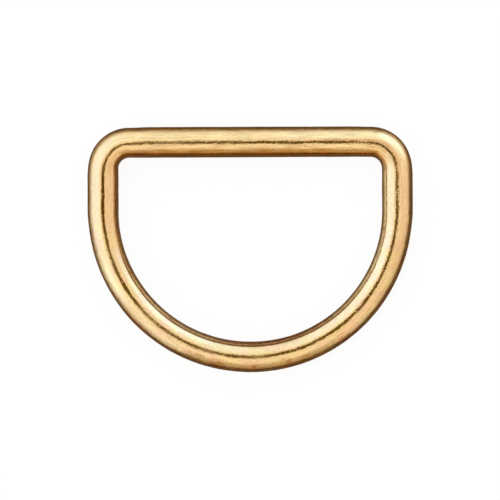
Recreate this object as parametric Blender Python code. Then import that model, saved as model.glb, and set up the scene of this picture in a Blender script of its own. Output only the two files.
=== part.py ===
"""A D ring of round brass wire: a straight bar, two tight corners, short sides and a half-round bow.

The ring lies flat. +X runs along the bar, +Y points from the bow to the bar, and +Z is up.
The origin is under the middle of the ring's outline, on the plane that it rests on.
"""

from math import cos, pi

import bmesh
import bpy
from mathutils import Matrix, Vector

# Driving sizes, in metres
STRAP_OPENING = 0.0254  # clear width between the two sides, for a one-inch strap
SIDE_LENGTH = 0.0040  # straight stretch of each side, between corner and bow
CORNER_INSIDE_RADIUS = 0.00105  # inside of the bend between bar and side
WIRE_DIAMETER = 0.0030

# How finely the round forms are faceted
WIRE_SIDES = 32  # a multiple of four, so that flats face down, up, in and out
CORNER_STEPS = 12
BOW_STEPS = 61  # odd, so that one flat lies square across the bow's middle

# Finish of the metal
BRASS_COLOUR = (0.90, 0.65, 0.36, 1.0)
BRASS_ROUGHNESS = 0.16

MERGE_DISTANCE = 1e-6

# Sizes that follow from the driving ones
WIRE_RADIUS = WIRE_DIAMETER / 2
CORNER_RADIUS = CORNER_INSIDE_RADIUS + WIRE_RADIUS
BOW_RADIUS = STRAP_OPENING / 2 + WIRE_RADIUS
BAR_LENGTH = STRAP_OPENING - 2 * CORNER_INSIDE_RADIUS
OUTLINE_DEPTH = WIRE_RADIUS + CORNER_RADIUS + SIDE_LENGTH + BOW_RADIUS + WIRE_RADIUS

# Places on the wire's centreline
BAR_Y = OUTLINE_DEPTH / 2 - WIRE_RADIUS
CORNER_CENTRE_Y = BAR_Y - CORNER_RADIUS
BOW_CENTRE_Y = CORNER_CENTRE_Y - SIDE_LENGTH


def clear_scene():
    for obj in list(bpy.data.objects):
        bpy.data.objects.remove(obj, do_unlink=True)


def brass():
    material = bpy.data.materials.new("brass")
    material.use_nodes = True
    shader = material.node_tree.nodes["Principled BSDF"]
    shader.inputs["Base Color"].default_value = BRASS_COLOUR
    shader.inputs["Roughness"].default_value = BRASS_ROUGHNESS
    shader.inputs["Metallic"].default_value = 1.0
    return material


def wire_section(bm, x, y):
    """The wire's section, standing across +X, as a loop of edges.

    Its flats lie at the wire's radius, one of them at its foot, and its corners a little outside.
    """
    out_to_corners = WIRE_RADIUS / cos(pi / WIRE_SIDES)
    standing = Matrix.Rotation(pi / 2, 4, "Y")
    flat_at_foot = Matrix.Rotation(pi / WIRE_SIDES, 4, "Z")
    place = Matrix.Translation((x, y, WIRE_RADIUS)) @ standing @ flat_at_foot
    bmesh.ops.create_circle(bm, radius=out_to_corners, segments=WIRE_SIDES, matrix=place)
    return list(bm.edges)


def draw_straight(bm, end, along):
    """Draws the wire's open end on in a straight line, and returns its new end."""
    made = bmesh.ops.extrude_edge_only(bm, edges=end)["geom"]
    points = [item for item in made if isinstance(item, bmesh.types.BMVert)]
    bmesh.ops.translate(bm, verts=points, vec=along)
    return [item for item in made if isinstance(item, bmesh.types.BMEdge)]


def bend(bm, end, centre_x, centre_y, turn, steps):
    """Bends the wire's open end clockwise, seen from above, and returns its new end."""
    made = bmesh.ops.spin(
        bm,
        geom=end,
        cent=(centre_x, centre_y, WIRE_RADIUS),
        axis=(0, 0, -1),
        angle=turn,
        steps=steps,
    )["geom_last"]
    return [item for item in made if isinstance(item, bmesh.types.BMEdge)]


def d_ring():
    """The whole ring, bent from one wire, clockwise from the bar's left end."""
    bm = bmesh.new()
    corner_x = BAR_LENGTH / 2
    end = wire_section(bm, -corner_x, BAR_Y)
    end = draw_straight(bm, end, Vector((BAR_LENGTH, 0, 0)))
    end = bend(bm, end, corner_x, CORNER_CENTRE_Y, pi / 2, CORNER_STEPS)
    end = draw_straight(bm, end, Vector((0, -SIDE_LENGTH, 0)))
    end = bend(bm, end, 0, BOW_CENTRE_Y, pi, BOW_STEPS)
    end = draw_straight(bm, end, Vector((0, SIDE_LENGTH, 0)))
    bend(bm, end, -corner_x, CORNER_CENTRE_Y, pi / 2, CORNER_STEPS)
    bmesh.ops.remove_doubles(bm, verts=bm.verts, dist=MERGE_DISTANCE)
    bmesh.ops.recalc_face_normals(bm, faces=bm.faces)

    mesh = bpy.data.meshes.new("d_ring")
    bm.to_mesh(mesh)
    bm.free()
    mesh.shade_smooth()
    mesh.materials.append(brass())
    ring = bpy.data.objects.new("d_ring", mesh)
    bpy.context.scene.collection.objects.link(ring)
    return ring


clear_scene()
d_ring()
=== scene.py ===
"""A D ring of round brass wire, lying on a white table under soft studio light.

The ring is drawn as a maker bends one: a straight bar, a tight corner, a side, the half-round bow,
the other side and the other corner, back to where it began. All lengths are in metres, +X runs along
the bar, +Y points from the bow to the bar, and the table is at zero height.
"""

from collections import namedtuple
from math import atan2, cos, hypot, pi, radians, sin

import bmesh
import bpy
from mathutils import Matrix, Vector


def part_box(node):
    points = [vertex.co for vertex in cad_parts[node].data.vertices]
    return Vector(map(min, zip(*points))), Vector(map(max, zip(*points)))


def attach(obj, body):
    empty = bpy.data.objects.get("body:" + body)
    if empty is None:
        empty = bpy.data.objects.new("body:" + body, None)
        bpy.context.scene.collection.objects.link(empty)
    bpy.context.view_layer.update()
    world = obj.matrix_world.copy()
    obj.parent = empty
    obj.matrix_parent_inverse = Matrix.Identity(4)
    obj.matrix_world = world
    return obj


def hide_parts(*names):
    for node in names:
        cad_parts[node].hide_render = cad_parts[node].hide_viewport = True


bl_info = {
    "name": "Brass D ring",
    "version": (1, 0, 0),
    "blender": (4, 5, 0),
    "location": "3D View > Sidebar > D Ring",
    "description": "Draws a D ring of brass wire, and the table, light and camera for its picture",
    "category": "Add Mesh",
}

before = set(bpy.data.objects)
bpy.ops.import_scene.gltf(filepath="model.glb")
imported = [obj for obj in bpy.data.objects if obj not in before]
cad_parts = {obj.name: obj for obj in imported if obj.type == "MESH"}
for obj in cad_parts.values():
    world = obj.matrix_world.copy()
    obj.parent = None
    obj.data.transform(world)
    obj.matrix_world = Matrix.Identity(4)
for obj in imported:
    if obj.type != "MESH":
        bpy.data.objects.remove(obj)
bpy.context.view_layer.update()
RING_LOW, RING_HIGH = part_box("d_ring")
RING_SIZE = RING_HIGH - RING_LOW
MM = 0.001

# How finely the wire is meshed
WIRE_SIDES = 128
LENGTH_OF_A_STEP = 0.135 * MM
MERGE_DISTANCE = 0.001 * MM

# How bending and use have changed the round section: how far its top has moved towards the ring's
# inside, how much its outer and its inner half have narrowed, and how much its top is flattened
Section = namedtuple("Section", "top_moved outer_narrowed inner_narrowed flattened")
SECTIONS = {
    "bar": Section(0.075 * MM, -0.045 * MM, 0.088 * MM, 0.0),
    "corners": Section(0.158 * MM, -0.098 * MM, 0.173 * MM, 0.0),
    "left_corner": Section(0.067 * MM, -0.034 * MM, 0.067 * MM, 0.02 * MM),
    "right_corner": Section(-0.012 * MM, 0.022 * MM, -0.012 * MM, 0.08 * MM),
    "bow": Section(0.0, 0.016 * MM, 0.024 * MM, 0.0),
    "bow_ends": Section(0.055 * MM, -0.034 * MM, 0.055 * MM, 0.0),
    "right_half": Section(0.018 * MM, -0.022 * MM, 0.053 * MM, 0.0),
}
FADE_ALONG_BAR = 2.0 * MM
FADE_ALONG_SIDE = 1.6 * MM
BOW_END_STARTS = -8.0 * MM
BOW_END_IS_FULL = -1.0 * MM
RIGHT_HALF_IS_FULL = 4.0 * MM

# Waves of the worn surface: their length, and their height as a share of the unevenness
WAVES = {
    "long_waves": (2.2 * MM, 1.0),
    "short_waves": (0.55 * MM, 0.5),
}

# Places where pits crowd together: x, y and radius
PITTED_PATCHES = (
    (14.2 * MM, 5.6 * MM, 1.4 * MM),
    (-10.9 * MM, 10.4 * MM, 0.5 * MM),
    (-11.9 * MM, -4.9 * MM, 0.9 * MM),
    (7.8 * MM, 9.6 * MM, 1.6 * MM),
)

# Places where the metal is duller: x, y, radius, and how much rougher or, below zero, smoother
DULL_PATCHES = (
    (-4.5 * MM, -9.6 * MM, 4.0 * MM, 0.06),
    (0.5 * MM, -10.4 * MM, 2.5 * MM, 0.08),
    (-9.5 * MM, -6.7 * MM, 3.5 * MM, 0.05),
    (-13.4 * MM, -0.8 * MM, 3.5 * MM, 0.06),
    (-6.5 * MM, 10.4 * MM, 4.5 * MM, 0.07),
    (-13.2 * MM, 8.9 * MM, 2.6 * MM, 0.06),
    (13.2 * MM, 8.9 * MM, 3.0 * MM, 0.02),
    (14.2 * MM, 5.6 * MM, 2.4 * MM, 0.03),
    (-10.9 * MM, 9.0 * MM, 2.2 * MM, 0.06),
    (-14.2 * MM, 5.5 * MM, 3.0 * MM, -0.045),
)

# Brown stains, mostly on the bow's outer side: x, y and radius
STAINS = (
    (-3.1 * MM, -10.8 * MM, 1.1 * MM),
    (0.2 * MM, -11.0 * MM, 1.2 * MM),
    (3.4 * MM, -10.7 * MM, 0.9 * MM),
    (5.2 * MM, -10.7 * MM, 0.8 * MM),
    (9.1 * MM, -8.6 * MM, 0.9 * MM),
    (8.8 * MM, -8.4 * MM, 0.8 * MM),
    (8.3 * MM, -9.2 * MM, 0.7 * MM),
    (-5.9 * MM, -10.0 * MM, 0.5 * MM),
    (-5.0 * MM, -10.3 * MM, 0.8 * MM),
    (12.3 * MM, 11.4 * MM, 0.7 * MM),
)

# Patches of another tone on the bow's outer side: x, y, radius and colour
TONES = (
    (-11.2 * MM, -6.4 * MM, 2.0 * MM, (0.98, 0.90, 0.90)),
    (-13.4 * MM, -3.3 * MM, 2.4 * MM, (1.14, 1.20, 1.16)),
)

# The corner where the grain is calmer and the painted shade on the outer edge weaker: x, y and radius
CALM_CORNER = (13.0 * MM, 8.2 * MM, 4.0 * MM)

# Share of a spot's radius within which the spot is full
SPOT_CORE = 0.3

# Slopes over the surface, as where a look begins and where it is full. Across the wire they count from
# its middle towards the ring's outside, over the width from left to right, and over the depth from the
# bow to the bar.
ACROSS_WIRE = {
    "inner_side": (-0.10 * MM, -0.30 * MM),
    "outer_side": (0.3 * MM, 0.6 * MM),
    "cooler_half": (0.4 * MM, 0.0),
    "strip_begins": (-0.10 * MM, 0.0),
    "strip_ends": (0.42 * MM, 0.15 * MM),
    "outer_half": (-0.2 * MM, 0.2 * MM),
    "stained_side": (0.35 * MM, 0.65 * MM),
}
OVER_WIDTH = {
    "left_side": (-9.0 * MM, -13.0 * MM),
    "past_left_side": (-13.0 * MM, -12.0 * MM),
    "past_left_corner": (-11.5 * MM, -9.5 * MM),
    "past_thin_tarnish": (-11.5 * MM, -8.0 * MM),
    "past_paler_brown": (-3.0 * MM, -0.5 * MM),
    "left_half": (3.0 * MM, -4.0 * MM),
    "right_half": (0.0, 4.0 * MM),
    "left_of_right_end": (5.0 * MM, 1.0 * MM),
    "right_end": (4.0 * MM, 7.0 * MM),
    "left_of_right_side": (9.5 * MM, 6.0 * MM),
    "right_side": (9.0 * MM, 12.5 * MM),
}
OVER_DEPTH = {
    "bow": (4.0 * MM, 1.0 * MM),
    "bar": (6.5 * MM, 9.0 * MM),
    "strip": (6.5 * MM, 8.0 * MM),
    "foot_of_bar": (8.7 * MM, 9.2 * MM),
}

# The same for bands that are shifted or ragged, and for the sides and the upper half of the wire
TARNISHED_INSIDE = (-0.44 * MM, -0.80 * MM)
# Where the painted shade on the inner side begins and is full
INNER_SHADE_BAND = (-0.95 * MM, -1.03 * MM)
# Where the painted shade on the outer edge begins and is full
OUTER_SHADE_BAND = (1.08 * MM, 1.22 * MM)
SIDES_OF_WIRE = (0.95 * MM, 1.2 * MM)
UPPER_HALF = (1.3 * MM, 1.9 * MM)

# How far the painted shade on the inner side is shifted inwards, once more on the right half, and the
# painted shade on the outer edge on the bar
INNER_SHADE_SHIFT = 0.02 * MM
OUTER_SHADE_SHIFT = 0.08 * MM

# How far streaks, rubbing and grain make the tarnish's edge ragged
RAGGED_BY_STREAKS = 0.9 * MM
RAGGED_BY_RUBBING = 1.1 * MM
RAGGED_BY_GRAIN = 0.4 * MM

# Lines along the wire: how far outside its middle they run, and how far from there they end and are full
Line = namedtuple("Line", "outside ends full")
# The top line is a painted dark reflection along the top of the wire
TOP_LINE = Line(0.0, 0.24 * MM, 0.08 * MM)
# The inner line is a painted dark reflection where the painted inner shade begins
INNER_LINE = Line(-1.02 * MM, 0.095 * MM, 0.035 * MM)
FOOT_LINE = Line(-1.13 * MM, 0.13 * MM, 0.05 * MM)

# Pits: their spacing and, as shares of it, the slopes of their walls from rim to floor and of the dirt
# in them
PIT_SPACING = 0.32 * MM
PIT_WALL = (0.24, 0.06)
DIRT_EDGE = (0.21, 0.08)

# How rare pits and dirty pits are, as slopes over a chance between 0 and 1, and how much crowding and a
# pitted patch add to that chance
PIT_RARITY = (0.62, 0.68)
DIRT_RARITY = (0.45, 0.55)
PIT_CROWDING = 0.9
CROWDING_OF_A_PATCH = 0.5

# Noise patterns: the size of their features, how many finer layers they have and how much these count.
# A pattern with a pace is drawn out along the wire, and the pace is how fast it changes along the wire,
# as a share of how fast it changes across it. A fourth place sets a pattern apart from others like it.
# The patches of a pattern begin at one level of its noise and are full at another.
Pattern = namedtuple(
    "Pattern", "size detail roughness pace fourth begins full", defaults=(2.0, 0.5, None, None, 0.0, 1.0)
)
PATTERNS = {
    "busy": Pattern(2.2 * MM, begins=0.40, full=0.62),
    "rubbing": Pattern(0.14 * MM, detail=0.0),
    "crowding": Pattern(1.7 * MM),
    "rosy": Pattern(1.7 * MM, detail=3.0, begins=0.42, full=0.62),
    "golden": Pattern(1.5 * MM, fourth=3.0, begins=0.46, full=0.60),
    "uneven": Pattern(1.6 * MM, detail=3.0, begins=0.35, full=0.60),
    "reddish": Pattern(0.9 * MM, detail=1.0, fourth=7.0, begins=0.37, full=0.63),
    "cloudy": Pattern(0.8 * MM, detail=3.0),
    "grain": Pattern(0.16 * MM, roughness=0.55, pace=0.45),
    "wander": Pattern(0.45 * MM, detail=1.0, pace=0.5),
    "streaks": Pattern(0.15 * MM, detail=1.0, pace=0.07),
    "mottling": Pattern(0.14 * MM, detail=1.0, pace=0.55),
    "smudges": Pattern(0.26 * MM, pace=0.55),
    "stains": Pattern(0.2 * MM, detail=3.0, roughness=0.6, pace=0.25, begins=0.44, full=0.60),
}

# Tints that the metal's colour is multiplied by
TINTS = {
    # Painted highlight on the bow's inner side
    "inner_bow_highlight": (1.03, 1.09, 1.24),
    "right_end": (1.07, 1.08, 1.07),
    "bar": (1.0, 0.955, 0.90),
    # A painted dark reflection beside the top line
    "strip": (0.92, 0.82, 0.79),
    "foot_line": (0.72, 0.56, 0.30),
    # Painted shade on the inner side, darkest on the bar and the bow's right; on the right side it is
    # painted light
    "inner_side": (1.15, 0.98, 0.80),
    "inner_side_darkest": (0.86, 0.63, 0.47),
    "inner_side_left": (0.92, 0.77, 0.64),
    "inner_side_right": (1.35, 1.12, 0.88),
    # A painted dark reflection line along the inner side
    "inner_reflection_line": (0.30, 0.235, 0.145),
    # Painted shade on the outer edge
    "outer_edge": (0.86, 0.73, 0.53),
    # A painted dark reflection along the top
    "top_line": (0.86, 0.74, 0.64),
    "olive": (0.96, 1.06, 1.02),
    "reddish": (1.04, 0.91, 0.92),
    "stain": (0.74, 0.58, 0.43),
}

# Heights on the sphere of directions at which each side's light is full, and at which it is gone
Fade = namedtuple("Fade", "full gone")
FADES = {
    "left": Fade(0.20, -0.68),
    "right": Fade(0.23, -0.28),
    "back": Fade(0.40, -0.47),
    "front": Fade(0.18, -0.29),
}
# What comes to those heights half-way between two sides
FADES_BETWEEN = {
    ("left", "back"): Fade(0.0, -0.14),
    ("right", "back"): Fade(-0.10, -0.28),
    ("left", "front"): Fade(0.22, -0.05),
}

# The brown light that is left where the side light is gone
LIGHT_FROM_BELOW = (0.163, 0.114, 0.067)

# Heights on that sphere between which three lights come in, and the colours of two of them: the
# overhead light, the warm rim round the camera's reflection, and the dark reflection itself
OVERHEAD = (0.86, 0.965)
CAMERA_RIM = (0.950, 0.972)
CAMERA_RIM_TINT = (1.0, 0.91, 0.76)
CAMERA_DISC = (0.972, 0.988)
CAMERA_COLOUR = (0.135, 0.090, 0.015)

# Lamps behind the corners: their light's name, where they stand in degrees, and the nearness to them,
# as a cosine, at which their light begins and is full
Lamp = namedtuple("Lamp", "light azimuth elevation begins full")
LAMPS = (
    Lamp("lamp", 48, 24, 0.82, 0.985),
    Lamp("window", 140, 34, 0.80, 0.97),
)

# Gaps in the light: where they lie in degrees, the nearness to them and the heights at which they begin
# and are full, and their colour
Gap = namedtuple("Gap", "azimuth nearness height colour")
DUSK = Gap(-36, (0.80, 0.93), (0.68, 0.50), (0.87, 0.865, 0.81))
OPENING = Gap(-86, (0.83, 0.93), (0.72, 0.36), (0.61, 0.48, 0.31))

# Keeps a direction that points straight up from being divided by zero
LEAST_LEVEL = 0.0001

# Sizes and colours of the stage
TABLE_RADIUS = 1.3
TABLE_SIDES = 96
TABLE_COLOUR = (0.09, 0.09, 0.09)
TABLE_GLOW = 0.92
BACKDROP_RADIUS = 1.2
BACKDROP_HEIGHT = 1.1
BACKDROP_FOOT = -0.01
BACKDROP_COLOUR = (0.97, 0.97, 0.97)
WHITE = (1.0, 1.0, 1.0)

# Where the camera hangs above the ring
CAMERA_X = -0.03 * MM
CAMERA_Y = -0.06 * MM


class RingSizes(bpy.types.PropertyGroup):
    """The ring's sizes. What the frame can tell comes from the frame."""

    wire_diameter: bpy.props.FloatProperty(
        name="Wire diameter",
        description="Thickness of the round wire",
        default=RING_SIZE.z,
        min=0.001,
        unit="LENGTH",
        precision=5,
    )
    width: bpy.props.FloatProperty(
        name="Width",
        description="Over the two sides",
        default=RING_SIZE.x,
        min=0.01,
        unit="LENGTH",
        precision=5,
    )
    depth: bpy.props.FloatProperty(
        name="Depth",
        description="From the bar's outer side to the foot of the bow",
        default=2 * RING_HIGH.y,
        min=0.01,
        unit="LENGTH",
        precision=5,
    )
    corner_inside: bpy.props.FloatProperty(
        name="Corner radius",
        description="Inside radius of the bends between bar and sides",
        default=1.05 * MM,
        min=0.0002,
        unit="LENGTH",
        precision=5,
    )
    unevenness: bpy.props.FloatProperty(
        name="Unevenness",
        description="How far the worn surface rises and falls over a few millimetres",
        default=0.022 * MM,
        min=0.0,
        unit="LENGTH",
        precision=6,
    )


class BrassLook(bpy.types.PropertyGroup):
    """The colours and the wear of the metal."""

    brass: bpy.props.FloatVectorProperty(
        name="Brass",
        description="Colour of the clean metal",
        subtype="COLOR",
        default=(0.90, 0.65, 0.36),
        min=0.0,
        max=1.0,
    )
    rosy: bpy.props.FloatVectorProperty(
        name="Rosy blotches",
        description="Colour of the blotches where the metal looks redder",
        subtype="COLOR",
        default=(0.92, 0.61, 0.36),
        min=0.0,
        max=1.0,
    )
    golden: bpy.props.FloatVectorProperty(
        name="Golden blotches",
        description="Colour of the blotches where the metal looks yellower",
        subtype="COLOR",
        default=(0.90, 0.66, 0.33),
        min=0.0,
        max=1.0,
    )
    tarnish: bpy.props.FloatVectorProperty(
        name="Tarnish",
        description="Colour of the orange tarnish under the bar",
        subtype="COLOR",
        default=(0.78, 0.44, 0.14),
        min=0.0,
        max=1.0,
    )
    speck: bpy.props.FloatVectorProperty(
        name="Specks",
        description="Colour of the dirt in the small pits",
        subtype="COLOR",
        default=(0.36, 0.22, 0.10),
        min=0.0,
        max=1.0,
    )
    roughness: bpy.props.FloatProperty(
        name="Roughness",
        description="Roughness of the tumbled metal",
        subtype="FACTOR",
        default=0.10,
        min=0.0,
        max=1.0,
    )
    grain_depth: bpy.props.FloatProperty(
        name="Grain depth",
        description="Depth of the fine grain along the wire",
        default=0.011 * MM,
        min=0.0,
        unit="LENGTH",
        precision=6,
    )
    pit_depth: bpy.props.FloatProperty(
        name="Pit depth",
        description="Depth of the small pits",
        default=0.007 * MM,
        min=0.0,
        unit="LENGTH",
        precision=6,
    )


class StudioLight(bpy.types.PropertyGroup):
    """The light that comes from each side of the studio."""

    left: bpy.props.FloatVectorProperty(
        name="Left",
        description="Light from the left, the brightest side",
        subtype="COLOR",
        default=(1.16, 1.33, 1.55),
        min=0.0,
        soft_max=2.0,
    )
    right: bpy.props.FloatVectorProperty(
        name="Right",
        description="Light from the right, dimmer and warmer",
        subtype="COLOR",
        default=(0.98, 0.88, 0.76),
        min=0.0,
        soft_max=2.0,
    )
    back: bpy.props.FloatVectorProperty(
        name="Back",
        description="Light from beyond the bar",
        subtype="COLOR",
        default=(1.08, 1.20, 1.20),
        min=0.0,
        soft_max=2.0,
    )
    front: bpy.props.FloatVectorProperty(
        name="Front",
        description="Light from beyond the bow",
        subtype="COLOR",
        default=(1.05, 1.02, 0.90),
        min=0.0,
        soft_max=2.0,
    )
    overhead: bpy.props.FloatVectorProperty(
        name="Overhead",
        description="Light from above, round the camera",
        subtype="COLOR",
        default=(0.98, 0.95, 0.80),
        min=0.0,
        soft_max=2.0,
    )
    lamp: bpy.props.FloatVectorProperty(
        name="Lamp",
        description="Extra cool light of the lamp behind the right corner",
        subtype="COLOR",
        default=(0.08, 0.42, 0.75),
        min=0.0,
        soft_max=2.0,
    )
    window: bpy.props.FloatVectorProperty(
        name="Window",
        description="Extra cool light of the wide window behind the left corner",
        subtype="COLOR",
        default=(0.02, 0.10, 0.25),
        min=0.0,
        soft_max=2.0,
    )


class PictureCamera(bpy.types.PropertyGroup):
    """The camera, which hangs straight above the ring."""

    lens: bpy.props.FloatProperty(
        name="Lens",
        description="Focal length in millimetres",
        default=335.0,
        min=50.0,
    )
    height: bpy.props.FloatProperty(
        name="Height",
        description="Height of the camera above the table",
        default=0.45077,
        min=0.1,
        unit="LENGTH",
    )
    turn: bpy.props.FloatProperty(
        name="Turn",
        description="How far the camera is turned about its own line of sight",
        subtype="ANGLE",
        unit="ROTATION",
        default=radians(-0.2),
    )


def smooth_step(share):
    """0 below 0, 1 above 1, and a smooth rise between."""
    share = min(max(share, 0.0), 1.0)
    return share * share * (3 - 2 * share)


class RingRoute:
    """The centreline of the wire, clockwise from the bar's left end, and where each stretch lies."""

    def __init__(self, sizes):
        self.wire = sizes.wire_diameter / 2
        self.corner = sizes.corner_inside + self.wire
        self.bow = sizes.width / 2 - self.wire
        self.side = sizes.depth - 2 * self.wire - self.corner - self.bow
        self.corner_x = self.bow - self.corner
        self.bar = 2 * self.corner_x
        self.bar_y = RING_HIGH.y - self.wire
        self.corner_y = self.bar_y - self.corner
        self.bow_y = self.corner_y - self.side
        self.height = RING_LOW.z + self.wire
        self.corner_length = self.corner * pi / 2
        self.bow_length = self.bow * pi
        self.length = self.bar + 2 * self.corner_length + 2 * self.side + self.bow_length

    def corner_share(self, along):
        """1 in the two corners, falling to 0 slowly along the bar and quickly along the sides."""
        from_bar_middle = abs(along - self.bar / 2)
        from_bar_middle = min(from_bar_middle, self.length - from_bar_middle)
        into_corner = from_bar_middle - self.bar / 2
        past_corner = into_corner - self.corner_length
        rise = smooth_step(1 + into_corner / FADE_ALONG_BAR)
        return rise * smooth_step(0.5 - past_corner / FADE_ALONG_SIDE)

    def place(self, x, y):
        """The length along the centreline at (x, y), and how far outside the centreline it lies."""
        if y < self.bow_y:
            down = y - self.bow_y
            along = self.bar + self.corner_length + self.side + self.bow * atan2(-down, x)
            return along, hypot(x, down) - self.bow
        if y <= self.corner_y:
            if x > 0:
                return self.bar + self.corner_length + self.corner_y - y, x - self.bow
            start = self.bar + self.corner_length + self.side + self.bow_length
            return start + y - self.bow_y, -x - self.bow
        if x > self.corner_x:
            right, up = x - self.corner_x, y - self.corner_y
            return self.bar + self.corner * atan2(right, up), hypot(right, up) - self.corner
        if x < -self.corner_x:
            left, up = -self.corner_x - x, y - self.corner_y
            return self.length - self.corner * atan2(left, up), hypot(left, up) - self.corner
        return x + self.corner_x, y - self.bar_y


class Value:
    """A number in a node tree. Sums of it and other values or plain numbers become Math nodes."""

    def __init__(self, tree, socket):
        self.tree = tree
        self.socket = socket

    def __add__(self, other):
        return self.tree.maths("ADD", self, other)

    def __radd__(self, other):
        return self.tree.maths("ADD", other, self)

    def __sub__(self, other):
        return self.tree.maths("SUBTRACT", self, other)

    def __rsub__(self, other):
        return self.tree.maths("SUBTRACT", other, self)

    def __mul__(self, other):
        return self.tree.maths("MULTIPLY", self, other)

    def __rmul__(self, other):
        return self.tree.maths("MULTIPLY", other, self)

    def __truediv__(self, other):
        return self.tree.maths("DIVIDE", self, other)

    def __rtruediv__(self, other):
        return self.tree.maths("DIVIDE", other, self)


class Nodes:
    """The node tree of a material or of the world, and the few ways in which it is built here."""

    def __init__(self, owner):
        owner.use_nodes = True
        self.tree = owner.node_tree
        self.tree.nodes.clear()

    def add(self, kind, settings, inputs, output=0):
        """Adds a node, makes its settings, then sets or links its sockets, and gives one output."""
        node = self.tree.nodes.new(kind)
        for name, setting in settings.items():
            setattr(node, name, setting)
        for name, value in inputs.items():
            if isinstance(value, Value):
                self.tree.links.new(value.socket, node.inputs[name])
            else:
                node.inputs[name].default_value = value
        return Value(self, node.outputs[output]) if node.outputs else None

    def maths(self, operation, first, second=0.0):
        return self.add("ShaderNodeMath", {"operation": operation}, {0: first, 1: second})

    def xyz(self, vector):
        """The three parts of a vector."""
        x = self.add("ShaderNodeSeparateXYZ", {}, {"Vector": vector})
        outputs = x.socket.node.outputs
        return x, Value(self, outputs["Y"]), Value(self, outputs["Z"])

    def vector(self, operation, first, second):
        settings = {"operation": operation}
        return self.add("ShaderNodeVectorMath", settings, {0: first, 1: second})

    def dot(self, first, second):
        settings = {"operation": "DOT_PRODUCT"}
        return self.add("ShaderNodeVectorMath", settings, {0: first, 1: second}, "Value")

    def spot(self, place, x, y, radius):
        """1 at a place on the ring, seen from above, and 0 beyond a radius round it."""
        flat = self.vector("MULTIPLY", place, (1.0, 1.0, 0.0))
        distance = self.add(
            "ShaderNodeVectorMath", {"operation": "DISTANCE"}, {0: flat, 1: (x, y, 0.0)}, "Value"
        )
        return self.rise(distance, radius, SPOT_CORE * radius)

    def scaled(self, vector, factor):
        settings = {"operation": "SCALE"}
        return self.add("ShaderNodeVectorMath", settings, {0: vector, "Scale": factor})

    def rise(self, value, low, high, smooth=True):
        """0 below low, 1 above high and a slope between them, which may run downwards."""
        kind = {"interpolation_type": "SMOOTHSTEP" if smooth else "LINEAR"}
        return self.add(
            "ShaderNodeMapRange", kind, {"Value": value, "From Min": low, "From Max": high}
        )

    def blend(self, factor, first, second, how="MIX"):
        """Two colours mixed by a factor."""
        settings = {"data_type": "RGBA", "blend_type": how}
        return self.add("ShaderNodeMix", settings, {0: factor, 6: first, 7: second}, 2)

    def noise(self, vector, fourth, pattern):
        """A pattern's noise, which varies in four dimensions where it has a fourth place."""
        inputs = {
            "Vector": vector,
            "Scale": 1 / pattern.size,
            "Detail": pattern.detail,
            "Roughness": pattern.roughness,
        }
        if fourth is None:
            return self.add("ShaderNodeTexNoise", {"noise_dimensions": "3D"}, inputs)
        inputs["W"] = fourth
        return self.add("ShaderNodeTexNoise", {"noise_dimensions": "4D"}, inputs)


def rgba(colour):
    return (*colour, 1.0)


def deselect():
    """Leaves nothing selected, so that an operator acts only on what is made next."""
    if bpy.context.object is not None and bpy.context.object.mode != "OBJECT":
        bpy.ops.object.mode_set(mode="OBJECT")
    bpy.ops.object.select_all(action="DESELECT")


def draw_straight(along):
    """Draws the wire's open end on in a straight line."""
    bpy.ops.mesh.extrude_edges_move(TRANSFORM_OT_translate={"value": along})


def bend(centre, turn, radius):
    """Bends the wire's open end clockwise, seen from above, about an upright axis."""
    bpy.ops.mesh.spin(
        steps=round(turn * radius / LENGTH_OF_A_STEP),
        angle=turn,
        center=centre,
        axis=(0, 0, 1),
        use_auto_merge=False,
    )


def divide_straight(ring, length):
    """Divides the edges that run the whole of a straight stretch into short steps."""
    bpy.ops.mesh.select_all(action="DESELECT")
    shape = bmesh.from_edit_mesh(ring.data)
    for edge in shape.edges:
        edge.select_set(abs(edge.calc_length() - length) < MERGE_DISTANCE)
    bmesh.update_edit_mesh(ring.data)
    bpy.ops.mesh.subdivide(number_cuts=round(length / LENGTH_OF_A_STEP) - 1)


def draw_ring(route):
    """Draws the whole ring from one round section of the wire, and returns its object."""
    deselect()
    bpy.ops.mesh.primitive_circle_add(
        vertices=WIRE_SIDES,
        radius=route.wire,
        fill_type="NOTHING",
        location=(-route.corner_x, route.bar_y, route.height),
        rotation=(0, pi / 2, 0),
    )
    ring = bpy.context.object
    ring.name = ring.data.name = "brass_ring"
    bpy.ops.object.transform_apply(location=True, rotation=True, scale=True)
    bpy.ops.object.mode_set(mode="EDIT")
    bpy.ops.mesh.select_mode(type="EDGE")
    bpy.ops.mesh.select_all(action="SELECT")

    draw_straight((route.bar, 0, 0))
    bend((route.corner_x, route.corner_y, route.height), pi / 2, route.corner)
    draw_straight((0, -route.side, 0))
    bend((0, route.bow_y, route.height), pi, route.bow)
    draw_straight((0, route.side, 0))
    bend((-route.corner_x, route.corner_y, route.height), pi / 2, route.corner)

    bpy.ops.mesh.select_all(action="SELECT")
    bpy.ops.mesh.remove_doubles(threshold=MERGE_DISTANCE)
    divide_straight(ring, route.bar)
    divide_straight(ring, route.side)
    bpy.ops.mesh.select_all(action="SELECT")
    bpy.ops.mesh.normals_make_consistent(inside=False)
    bpy.ops.object.mode_set(mode="OBJECT")
    bpy.ops.object.shade_smooth()
    return ring


def mark_way(ring, route):
    """Stores where each point lies along and across the wire, for patterns that follow the wire.

    The length along the wire goes round a circle, so that a pattern closes where the ring does.
    """
    loop_radius = route.length / (2 * pi)
    ways = []
    for vert in ring.data.vertices:
        along, outside = route.place(vert.co.x, vert.co.y)
        angle = along / loop_radius
        ways += [loop_radius * cos(angle), loop_radius * sin(angle), outside]
    attribute = ring.data.attributes.new("wire_way", "FLOAT_VECTOR", "POINT")
    attribute.data.foreach_set("vector", ways)


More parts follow.
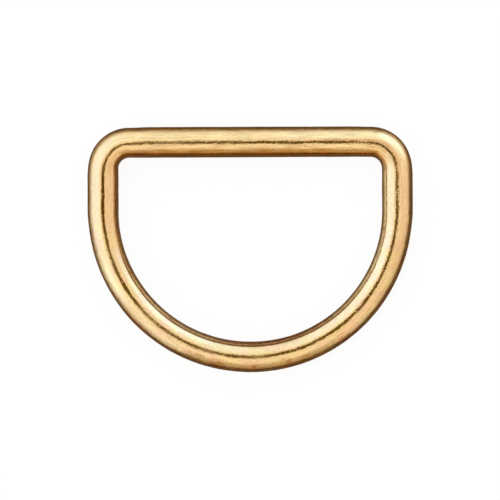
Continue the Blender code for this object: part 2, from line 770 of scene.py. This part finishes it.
def section_change(route, vert):
    """How far the wire's surface has sunk at a point of it, below zero where it has swollen."""
    along, outside = route.place(vert.co.x, vert.co.y)
    across = outside / route.wire
    corner = route.corner_share(along)
    bow = smooth_step((route.bow_y - vert.co.y) / FADE_ALONG_BAR)
    high_up = smooth_step((vert.co.y - BOW_END_STARTS) / (BOW_END_IS_FULL - BOW_END_STARTS))
    bar = smooth_step((vert.co.y - route.corner_y) / FADE_ALONG_BAR) * (1 - corner)
    shares = {
        "bar": bar,
        "corners": corner,
        "left_corner": corner if vert.co.x < 0 else 0.0,
        "right_corner": corner if vert.co.x > 0 else 0.0,
        "bow": bow,
        "bow_ends": bow * high_up,
        "right_half": smooth_step(vert.co.x / RIGHT_HALF_IS_FULL) * (1 - corner) * (1 - bar),
    }
    sunk = 0.0
    for stretch, share in shares.items():
        section = SECTIONS[stretch]
        narrowed = section.outer_narrowed if across > 0 else section.inner_narrowed
        sunk += share * (section.top_moved * across + narrowed * across * across)
        sunk += share * section.flattened * (1 - across * across) ** 2
    return sunk


def push(ring, name, depths):
    """Moves each point along its normal by its own depth, outwards where that is positive."""
    deepest = max(depths, key=abs)
    group = ring.vertex_groups.new(name=name)
    for index, depth in enumerate(depths):
        if depth:
            group.add([index], depth / deepest, "REPLACE")
    bpy.ops.object.modifier_add(type="DISPLACE")
    modifier = ring.modifiers[-1]
    modifier.vertex_group = name
    modifier.strength = deepest
    modifier.mid_level = 0.0
    bpy.ops.object.modifier_apply(modifier=modifier.name)
    ring.vertex_groups.remove(ring.vertex_groups[name])


def reshape_section(ring, route):
    """Gives the wire the section that bending and use have left it with."""
    changes = [section_change(route, vert) for vert in ring.data.vertices]
    push(ring, "sunk", [-max(change, 0.0) for change in changes])
    push(ring, "swollen", [max(-change, 0.0) for change in changes])


def wear(ring, name, size, depth):
    """Makes the surface rise and fall a little, as tumbling and use leave it."""
    texture = bpy.data.textures.new(name, type="CLOUDS")
    texture.noise_scale = size
    texture.noise_depth = 1
    bpy.ops.object.modifier_add(type="DISPLACE")
    modifier = ring.modifiers[-1]
    modifier.texture = texture
    modifier.texture_coords = "LOCAL"
    modifier.strength = depth
    modifier.mid_level = 0.5
    bpy.ops.object.modifier_apply(modifier=modifier.name)


class WornBrass:
    """The ring's tumbled and worn brass, whose colour is built up layer by layer, with painted shade, a
    painted highlight and painted dark reflections among the layers.
    """

    def __init__(self, look):
        self.look = look
        self.material = bpy.data.materials.new("worn_brass")
        self.nodes = Nodes(self.material)
        self.point = self.nodes.add("ShaderNodeTexCoord", {}, {}, "Object")
        self.x, self.y, self.height = self.nodes.xyz(self.point)
        self.way = self.nodes.add("ShaderNodeAttribute", {"attribute_name": "wire_way"}, {}, "Vector")
        self.outside = self.nodes.xyz(self.way)[2]
        self.on_bar = self.over_depth("bar")
        self.on_bow = self.over_depth("bow")
        self.on_left = self.over_width("left_side")
        self.on_right = self.over_width("right_side")
        self.calm = self.spot(*CALM_CORNER)
        self.upper = self.nodes.rise(self.height, *UPPER_HALF)
        from_middle = self.nodes.maths("ABSOLUTE", self.outside)
        self.sides = self.nodes.rise(from_middle, *SIDES_OF_WIRE) * self.upper
        self.busy = self.patches("busy")
        self.grain = self.swing("grain")
        self.rubbing = self.swing("rubbing")
        self.streaks = self.swing("streaks")
        self.colour = rgba(look.brass)

    def across_wire(self, name):
        return self.nodes.rise(self.outside, *ACROSS_WIRE[name])

    def over_width(self, name):
        return self.nodes.rise(self.x, *OVER_WIDTH[name])

    def over_depth(self, name):
        return self.nodes.rise(self.y, *OVER_DEPTH[name])

    def spot(self, x, y, radius):
        return self.nodes.spot(self.point, x, y, radius)

    def line(self, outside, line):
        """A line along the wire, whose place across it may have been shifted."""
        distance = self.nodes.maths("ABSOLUTE", outside - line.outside)
        return self.nodes.rise(distance, line.ends, line.full)

    def noise(self, name):
        """A noise pattern, which lies on the surface or, with a pace, is drawn out along the wire."""
        pattern = PATTERNS[name]
        if pattern.pace is None:
            return self.nodes.noise(self.point, pattern.fourth, pattern)
        drawn_out = self.nodes.vector("MULTIPLY", self.way, (pattern.pace, pattern.pace, 1.0))
        return self.nodes.noise(drawn_out, self.height, pattern)

    def swing(self, name):
        """A noise pattern that swings to both sides of zero."""
        return self.noise(name) - 0.5

    def patches(self, name):
        """The patches in which a noise pattern lies above its two levels."""
        pattern = PATTERNS[name]
        return self.nodes.rise(self.noise(name), pattern.begins, pattern.full)

    def tint(self, where, name):
        self.colour = self.nodes.blend(where, self.colour, rgba(TINTS[name]), "MULTIPLY")

    def grain_height(self):
        """Grain, drawn out along the wire, with a slow wander and a finer rubbing over it."""
        grain = self.grain * (0.45 + 0.20 * self.on_bar) * (0.6 + 0.8 * self.busy)
        rubbed = 0.62 + 0.08 * self.on_bar + 0.30 * self.on_right - 0.20 * self.on_left
        rubbing = self.rubbing * (rubbed - 0.45 * self.calm)
        return (grain + self.swing("wander") * 1.5 + rubbing) * self.look.grain_depth

    def pits(self):
        """The height of small pits, which crowd together here and there, and the dirt in some of them."""
        pit = self.nodes.add(
            "ShaderNodeTexVoronoi",
            {"voronoi_dimensions": "3D", "feature": "F1"},
            {"Vector": self.point, "Scale": 1 / PIT_SPACING, "Randomness": 1.0},
            "Distance",
        )
        pit_colour = Value(self.nodes, pit.socket.node.outputs["Color"])
        chance, dirt_chance, _ = self.nodes.xyz(pit_colour)
        crowding = self.swing("crowding")
        for x, y, radius in PITTED_PATCHES:
            crowding = crowding + self.spot(x, y, radius) * CROWDING_OF_A_PATCH
        few = self.nodes.rise(chance + crowding * PIT_CROWDING, *PIT_RARITY)
        hollow = self.nodes.rise(pit, *PIT_WALL) * few
        dirt = self.nodes.rise(pit, *DIRT_EDGE) * few * self.nodes.rise(dirt_chance, *DIRT_RARITY)
        return hollow * -self.look.pit_depth, dirt

    def add_blotches(self):
        """Rosy and golden blotches, stronger on the bow."""
        rosy = self.patches("rosy") * (0.30 + 0.70 * self.on_bow)
        self.colour = self.nodes.blend(rosy, self.colour, rgba(self.look.rosy))
        golden = self.patches("golden") * self.on_bow
        self.colour = self.nodes.blend(golden, self.colour, rgba(self.look.golden))

    def paint_bow_highlight_and_tint_bar(self):
        """Painted highlight on the bow's inner side, paler and cooler; paler at the bar's right end and
        warmer on the rest of the bar.
        """
        # Painted highlight on the bow's inner side
        paler = self.across_wire("inner_side") * self.on_bow * (1 - 0.4 * self.on_left)
        paler = paler * (0.20 + 0.15 * self.on_right + 0.45 * self.over_width("left_half"))
        self.tint(paler, "inner_bow_highlight")
        right_end = self.over_width("right_end") * self.across_wire("outer_side")
        self.tint(right_end * self.on_bar, "right_end")
        warmer = self.over_width("left_of_right_end") * self.on_bar
        cooler = self.across_wire("cooler_half") * self.over_width("past_left_corner")
        self.tint(warmer * (1 - 0.7 * cooler), "bar")

    def paint_reflection_strip(self):
        """A painted dark reflection: a brown strip just outside the top line, at the bar's right end and
        round the right corner.
        """
        strip = self.across_wire("strip_begins") * self.across_wire("strip_ends")
        self.tint(strip * self.over_width("right_end") * self.over_depth("strip"), "strip")

    def add_tarnish(self):
        """Tarnish on the bar's inner side, in uneven streaks with a grainy edge, thin at the left end."""
        edge = self.outside + self.streaks * RAGGED_BY_STREAKS
        edge = edge + self.rubbing * RAGGED_BY_RUBBING + self.grain * RAGGED_BY_GRAIN
        thick = (0.4 + 0.6 * self.over_width("past_thin_tarnish")) * (0.5 + 0.5 * self.patches("uneven"))
        tarnished = self.nodes.rise(edge, *TARNISHED_INSIDE) * self.on_bar * thick
        self.colour = self.nodes.blend(tarnished, self.colour, rgba(self.look.tarnish))
        foot = self.line(self.outside, FOOT_LINE) * self.on_bar
        self.tint(foot * (0.45 + 0.55 * self.over_depth("foot_of_bar")), "foot_line")
        return tarnished

    def paint_inner_side_shade(self, tarnished):
        """Painted shade on the inner side of the rest, darkest on the bar and the bow's right, with
        painted light on the right side, and a painted dark reflection line where the shade begins.
        """
        inwards = self.outside + INNER_SHADE_SHIFT + INNER_SHADE_SHIFT * self.over_width("right_half")
        bow_right = self.over_width("past_paler_brown") * self.over_width("left_of_right_side")
        darkest = self.nodes.maths("MAXIMUM", bow_right, self.on_bar)
        brown = self.nodes.blend(darkest, rgba(TINTS["inner_side"]), rgba(TINTS["inner_side_darkest"]))
        off_bow = 1 - self.on_bow
        brown = self.nodes.blend(self.on_left * off_bow, brown, rgba(TINTS["inner_side_left"]))
        # On the right side the tint turns to painted light
        right_side = self.on_right * off_bow * (1 - self.on_bar)
        brown = self.nodes.blend(right_side, brown, rgba(TINTS["inner_side_right"]))
        # Painted shade on the inner side, left off where the bar is tarnished
        painted_inner_shade = self.nodes.rise(inwards, *INNER_SHADE_BAND) * (1 - tarnished)
        self.colour = self.nodes.blend(painted_inner_shade, self.colour, brown, "MULTIPLY")
        # A painted dark reflection line where the painted shade begins, off the bar and weaker on the
        # right side
        line = self.line(inwards, INNER_LINE) * (1 - self.on_bar)
        self.tint(line * self.over_width("past_left_side") * (1 - 0.4 * self.on_right), "inner_reflection_line")

    def paint_outer_edge_shade(self):
        """Painted shade on the whole outer edge, most on the bar and least round the right corner."""
        shifted = self.outside + OUTER_SHADE_SHIFT * self.on_bar * (1 - self.calm)
        edge = self.nodes.rise(shifted, *OUTER_SHADE_BAND)
        self.tint(edge * (1 - 0.5 * self.calm), "outer_edge")

    def paint_top_reflection_line(self):
        """A painted dark reflection: a brown line along the top of the left side."""
        line = self.line(self.outside, TOP_LINE) * self.on_left
        self.tint(line * (1 - self.on_bar) * (1 - self.on_bow), "top_line")

    def add_tinge(self):
        """Both sides of the wire turn now olive, now reddish, mostly on the bow and further up."""
        tinge = self.nodes.blend(self.patches("reddish"), rgba(TINTS["olive"]), rgba(TINTS["reddish"]))
        tinged = self.sides * (0.35 + 0.65 * self.on_bow) * (0.3 + 0.7 * self.across_wire("outer_half"))
        self.colour = self.nodes.blend(tinged, self.colour, tinge, "MULTIPLY")

    def add_streaks(self):
        """Streaks along the wire, fine mottling, and smudges on the sides."""
        streaky = (0.32 + 0.50 * self.on_bar) * self.streaks
        mottled = (0.44 - 0.12 * self.on_bar) * self.swing("mottling")
        shade = 0.98 + (streaky + mottled) * (1 - 0.35 * self.on_left)
        shade = shade + (1.0 + 1.2 * self.on_bow) * self.swing("smudges") * self.sides
        self.colour = self.nodes.scaled(self.colour, shade)

    def add_stains(self):
        """Brown stains, and patches of another tone, on the wire's outer side."""
        outer_side = self.across_wire("stained_side")
        stained = self.patches("stains") * self.upper * outer_side
        for x, y, radius in STAINS:
            self.tint(self.spot(x, y, radius) * stained, "stain")
        for x, y, radius, tone in TONES:
            patch = self.spot(x, y, radius) * outer_side
            self.colour = self.nodes.blend(patch, self.colour, rgba(tone), "MULTIPLY")

    def roughness(self, dirt):
        """Duller where it is grainy, in a few patches and where there is dirt."""
        dull = 0.05 * self.busy * (1 - self.on_left)
        for x, y, radius, rougher in DULL_PATCHES:
            dull = dull + self.spot(x, y, radius) * rougher
        return self.look.roughness + dull + self.swing("cloudy") * 0.10 + dirt * 0.2

    def finished(self):
        """Lays all layers over each other, and gives the material."""
        pit_height, dirt = self.pits()
        self.add_blotches()
        self.paint_bow_highlight_and_tint_bar()
        self.paint_reflection_strip()
        tarnished = self.add_tarnish()
        self.paint_inner_side_shade(tarnished)
        self.paint_outer_edge_shade()
        self.paint_top_reflection_line()
        self.add_tinge()
        self.add_streaks()
        self.add_stains()
        self.colour = self.nodes.blend(dirt * 0.7, self.colour, rgba(self.look.speck))
        relief = self.grain_height() + pit_height
        bump = {"Strength": 1.0, "Distance": 1.0, "Height": relief}
        normal = self.nodes.add("ShaderNodeBump", {}, bump)
        brass = {
            "Base Color": self.colour,
            "Metallic": 1.0,
            "Roughness": self.roughness(dirt),
            "Normal": normal,
        }
        shader = self.nodes.add("ShaderNodeBsdfPrincipled", {}, brass)
        self.nodes.add("ShaderNodeOutputMaterial", {}, {"Surface": shader})
        return self.material


def towards(azimuth, elevation):
    """The direction at an azimuth counted from +X towards +Y, and an elevation, in degrees."""
    across = cos(radians(elevation))
    return (
        across * cos(radians(azimuth)),
        across * sin(radians(azimuth)),
        sin(radians(elevation)),
    )


def side_shares(nodes, x, y):
    """How far a direction points to each side, as shares that add up to one, and how level it is."""
    level = x * x + y * y + LEAST_LEVEL
    shares = {}
    for side, part in (("left", 0.0 - x), ("right", x), ("back", y), ("front", 0.0 - y)):
        ahead = nodes.maths("MAXIMUM", part, 0.0)
        shares[side] = ahead * ahead / level
    return shares, nodes.maths("SQRT", level)


def fade_heights(shares):
    """The heights at which the light from a direction is full and gone."""
    full = sum(share * FADES[side].full for side, share in shares.items())
    gone = sum(share * FADES[side].gone for side, share in shares.items())
    for (one, other), fade in FADES_BETWEEN.items():
        # Four times the product of two shares is 1 half-way between their sides
        between = 4.0 * shares[one] * shares[other]
        full = full + between * fade.full
        gone = gone + between * fade.gone
    return full, gone


def gap_share(nodes, flat, level, z, gap):
    """How far a direction, given flat and by its height, lies in a gap of the light."""
    nearness = nodes.dot(flat, towards(gap.azimuth, 0)) / level
    return nodes.rise(nearness, *gap.nearness) * nodes.rise(z, *gap.height)


def studio_world(light):
    """Soft light from all round, as the ring mirrors it, with dark gaps overhead and in front."""
    world = bpy.data.worlds.new("studio_light")
    bpy.context.scene.world = world
    nodes = Nodes(world)
    direction = nodes.add("ShaderNodeTexCoord", {}, {}, "Generated")
    x, y, z = nodes.xyz(direction)
    shares, level = side_shares(nodes, x, y)

    # The side light, and the overhead light that takes over from it
    glow = nodes.scaled(tuple(light.left), shares["left"])
    for side in ("right", "back", "front"):
        glow = nodes.vector("ADD", glow, nodes.scaled(tuple(getattr(light, side)), shares[side]))
    glow = nodes.blend(nodes.rise(z, *OVERHEAD), glow, rgba(light.overhead))

    # Two lamps behind the corners
    for lamp in LAMPS:
        nearness = nodes.dot(direction, towards(lamp.azimuth, lamp.elevation))
        lit = nodes.rise(nearness, lamp.begins, lamp.full)
        glow = nodes.vector("ADD", glow, nodes.scaled(tuple(getattr(light, lamp.light)), lit))

    # Dusk to the right in front, and the dark opening ahead
    flat = nodes.vector("MULTIPLY", direction, (1.0, 1.0, 0.0))
    dusk = gap_share(nodes, flat, level, z, DUSK)
    glow = nodes.blend(dusk, glow, rgba(DUSK.colour), "MULTIPLY")
    opening = gap_share(nodes, flat, level, z, OPENING)
    glow = nodes.blend(opening, glow, rgba(OPENING.colour))

    # The light fades below the horizon, slowest on the left
    full, gone = fade_heights(shares)
    lit = nodes.rise((z - gone) / (full - gone), 0.0, 1.0, smooth=False)
    from_below = nodes.scaled(LIGHT_FROM_BELOW, 1.0 - lit)
    glow = nodes.vector("ADD", nodes.scaled(glow, lit), from_below)

    # The camera's own dark reflection, straight overhead, and the warmer light round it
    glow = nodes.blend(nodes.rise(z, *CAMERA_RIM), glow, rgba(CAMERA_RIM_TINT), "MULTIPLY")
    glow = nodes.blend(nodes.rise(z, *CAMERA_DISC), glow, rgba(CAMERA_COLOUR))

    background = nodes.add("ShaderNodeBackground", {}, {"Color": glow, "Strength": 1.0})
    nodes.add("ShaderNodeOutputWorld", {}, {"Surface": background})


def draw_table():
    """A white table that glows a little, so that the ring casts only a faint shadow."""
    deselect()
    bpy.ops.mesh.primitive_circle_add(vertices=TABLE_SIDES, radius=TABLE_RADIUS, fill_type="NGON")
    table = bpy.context.object
    table.name = table.data.name = "table"
    material = bpy.data.materials.new("white_table")
    nodes = Nodes(material)
    white = nodes.add("ShaderNodeBsdfDiffuse", {}, {"Color": rgba(TABLE_COLOUR)})
    glow = nodes.add("ShaderNodeEmission", {}, {"Color": rgba(WHITE), "Strength": TABLE_GLOW})
    both = nodes.add("ShaderNodeAddShader", {}, {0: white, 1: glow})
    nodes.add("ShaderNodeOutputMaterial", {}, {"Surface": both})
    table.data.materials.append(material)
    table.visible_glossy = False
    return table


def draw_backdrop():
    """A pale wall round the table, which only the camera sees."""
    deselect()
    bpy.ops.mesh.primitive_circle_add(
        vertices=TABLE_SIDES,
        radius=BACKDROP_RADIUS,
        fill_type="NOTHING",
        location=(0, 0, BACKDROP_FOOT),
    )
    backdrop = bpy.context.object
    backdrop.name = backdrop.data.name = "backdrop"
    bpy.ops.object.transform_apply(location=True, rotation=True, scale=True)
    bpy.ops.object.mode_set(mode="EDIT")
    bpy.ops.mesh.select_mode(type="EDGE")
    bpy.ops.mesh.select_all(action="SELECT")
    bpy.ops.mesh.extrude_edges_move(TRANSFORM_OT_translate={"value": (0, 0, BACKDROP_HEIGHT)})
    bpy.ops.mesh.select_all(action="SELECT")
    bpy.ops.mesh.normals_make_consistent(inside=True)
    bpy.ops.object.mode_set(mode="OBJECT")
    material = bpy.data.materials.new("pale_wall")
    nodes = Nodes(material)
    glow = nodes.add("ShaderNodeEmission", {}, {"Color": rgba(BACKDROP_COLOUR), "Strength": 1.0})
    nodes.add("ShaderNodeOutputMaterial", {}, {"Surface": glow})
    backdrop.data.materials.append(material)
    backdrop.visible_diffuse = False
    backdrop.visible_glossy = False
    backdrop.visible_transmission = False
    backdrop.visible_shadow = False
    return backdrop


class DRING_OT_draw_ring(bpy.types.Operator):
    """Draw the ring from brass wire, in place of the plain one"""

    bl_idname = "d_ring.draw_ring"
    bl_label = "Draw Ring"

    def execute(self, context):
        sizes = context.scene.d_ring_sizes
        route = RingRoute(sizes)
        ring = draw_ring(route)
        mark_way(ring, route)
        reshape_section(ring, route)
        for name, (length, share) in WAVES.items():
            wear(ring, name, length, share * sizes.unevenness)
        ring.data.materials.append(WornBrass(context.scene.d_ring_look).finished())
        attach(ring, "root")
        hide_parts("d_ring")
        return {"FINISHED"}


class DRING_OT_set_stage(bpy.types.Operator):
    """Set the table, the backdrop, the studio light and the camera"""

    bl_idname = "d_ring.set_stage"
    bl_label = "Set Stage"

    def execute(self, context):
        scene = context.scene
        draw_table()
        draw_backdrop()
        studio_world(scene.d_ring_light)
        scene.view_settings.view_transform = "Standard"
        deselect()
        lens = scene.d_ring_camera
        bpy.ops.object.camera_add(
            location=(CAMERA_X, CAMERA_Y, lens.height), rotation=(0, 0, lens.turn)
        )
        camera = context.object
        camera.name = "picture_camera"
        camera.data.lens = lens.lens
        scene.camera = camera
        return {"FINISHED"}


class DRING_PT_panel(bpy.types.Panel):
    """The ring's sizes, its looks and the stage"""

    bl_idname = "DRING_PT_panel"
    bl_label = "D Ring"
    bl_space_type = "VIEW_3D"
    bl_region_type = "UI"
    bl_category = "D Ring"

    def draw(self, context):
        scene = context.scene
        for title, group, button in (
            ("Sizes", scene.d_ring_sizes, None),
            ("Metal", scene.d_ring_look, DRING_OT_draw_ring.bl_idname),
            ("Light", scene.d_ring_light, None),
            ("Camera", scene.d_ring_camera, DRING_OT_set_stage.bl_idname),
        ):
            self.layout.label(text=title)
            for name in group.__annotations__:
                self.layout.prop(group, name)
            if button:
                self.layout.operator(button)


CLASSES = (
    RingSizes,
    BrassLook,
    StudioLight,
    PictureCamera,
    DRING_OT_draw_ring,
    DRING_OT_set_stage,
    DRING_PT_panel,
)


def register():
    for part in CLASSES:
        bpy.utils.register_class(part)
    bpy.types.Scene.d_ring_sizes = bpy.props.PointerProperty(type=RingSizes)
    bpy.types.Scene.d_ring_look = bpy.props.PointerProperty(type=BrassLook)
    bpy.types.Scene.d_ring_light = bpy.props.PointerProperty(type=StudioLight)
    bpy.types.Scene.d_ring_camera = bpy.props.PointerProperty(type=PictureCamera)


def unregister():
    del bpy.types.Scene.d_ring_camera
    del bpy.types.Scene.d_ring_light
    del bpy.types.Scene.d_ring_look
    del bpy.types.Scene.d_ring_sizes
    for part in reversed(CLASSES):
        bpy.utils.unregister_class(part)


def main():
    register()
    bpy.ops.d_ring.draw_ring()
    bpy.ops.d_ring.set_stage()


if __name__ == "__main__":
    main()
